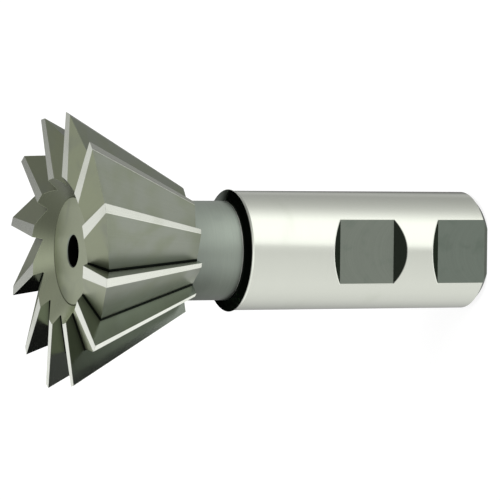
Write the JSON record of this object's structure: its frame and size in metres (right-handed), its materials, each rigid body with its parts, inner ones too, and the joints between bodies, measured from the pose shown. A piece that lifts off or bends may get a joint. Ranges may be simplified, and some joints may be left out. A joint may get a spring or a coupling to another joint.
{
  "type": "dovetail cutter",
  "caption": "Dovetail milling cutter: a conical toothed head with a recessed cutting face, a short neck and a round shank with set-screw flats.",
  "frame": {"origin": "centre of the shank's end face, which the tool stands on", "axes": "+Z along the tool's axis, from the shank's end to the cutting face; -Y is the side of the shank with the flats"},
  "size_m": [0.0576, 0.0576, 0.0953],
  "materials": {
    "tool_steel": "ground high speed steel: bright on the shank and the lands, dull grey on the neck, tooth backs and flats"
  },
  "bodies": {
    "root": {"dovetail_cutter": "tool_steel"}
  },
  "joints": []
}
